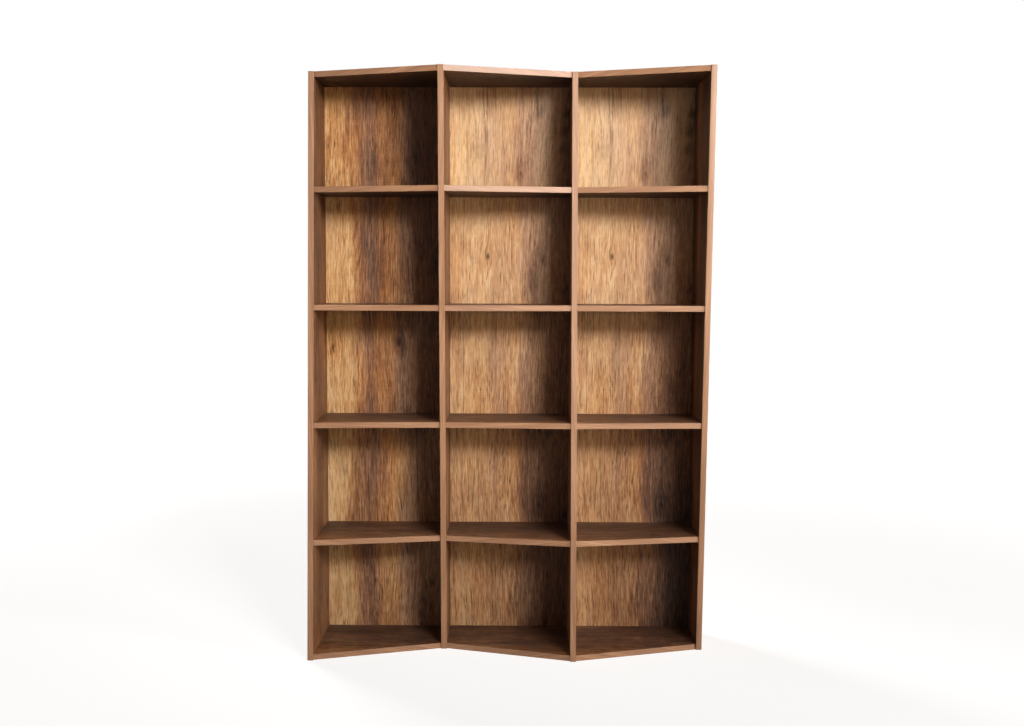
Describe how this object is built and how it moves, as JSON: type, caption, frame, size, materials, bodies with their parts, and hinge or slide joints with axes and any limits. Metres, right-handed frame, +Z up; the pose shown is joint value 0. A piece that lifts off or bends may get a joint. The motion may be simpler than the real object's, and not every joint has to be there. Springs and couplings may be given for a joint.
{
  "type": "bookcase",
  "caption": "Straight wall bookcase whose front folds in and out: open cells between slanted-front uprights, dark rustic wood print with pale edges.",
  "frame": {"origin": "on the floor, in the middle of the width and of the deepest depth", "axes": "+X right when facing the open front, +Y towards the wall, +Z up"},
  "size_m": [1.26, 0.32, 1.848],
  "materials": {
    "wood_decor": "matte melamine with a dark rustic wood print, on chipboard",
    "back_decor": "the same print on thin hardboard, plain brown behind",
    "edge_band": "pale wood-tone strip, matte",
    "zinc": "die-cast zinc, dull",
    "steel": "zinc-plated steel",
    "beech": "raw beech"
  },
  "bodies": {
    "root": {"left_side_panel": "wood_decor", "left_divider": "wood_decor", "right_divider": "wood_decor", "right_side_panel": "wood_decor", "left_bottom_board": "wood_decor", "left_shelf_1": "wood_decor", "left_shelf_2": "wood_decor", "left_shelf_3": "wood_decor", "left_shelf_4": "wood_decor", "left_top_board": "wood_decor", "middle_bottom_board": "wood_decor", "middle_shelf_1": "wood_decor", "middle_shelf_2": "wood_decor", "middle_shelf_3": "wood_decor", "middle_shelf_4": "wood_decor", "middle_top_board": "wood_decor", "right_bottom_board": "wood_decor", "right_shelf_1": "wood_decor", "right_shelf_2": "wood_decor", "right_shelf_3": "wood_decor", "right_shelf_4": "wood_decor", "right_top_board": "wood_decor", "left_side_panel_band": "edge_band", "left_divider_band": "edge_band", "right_divider_band": "edge_band", "right_side_panel_band": "edge_band", "left_bottom_board_band": "edge_band", "left_shelf_1_band": "edge_band", "left_shelf_2_band": "edge_band", "left_shelf_3_band": "edge_band", "left_shelf_4_band": "edge_band", "left_top_board_band": "edge_band", "middle_bottom_board_band": "edge_band", "middle_shelf_1_band": "edge_band", "middle_shelf_2_band": "edge_band", "middle_shelf_3_band": "edge_band", "middle_shelf_4_band": "edge_band", "middle_top_board_band": "edge_band", "right_bottom_board_band": "edge_band", "right_shelf_1_band": "edge_band", "right_shelf_2_band": "edge_band", "right_shelf_3_band": "edge_band", "right_shelf_4_band": "edge_band", "right_top_board_band": "edge_band", "left_back_panel": "back_decor", "middle_back_panel": "back_decor", "right_back_panel": "back_decor", "cam_locks": "zinc", "side_cam_bolts": "steel", "divider_cam_bolts": "steel", "side_dowels": "beech", "divider_dowels": "beech"}
  },
  "joints": []
}
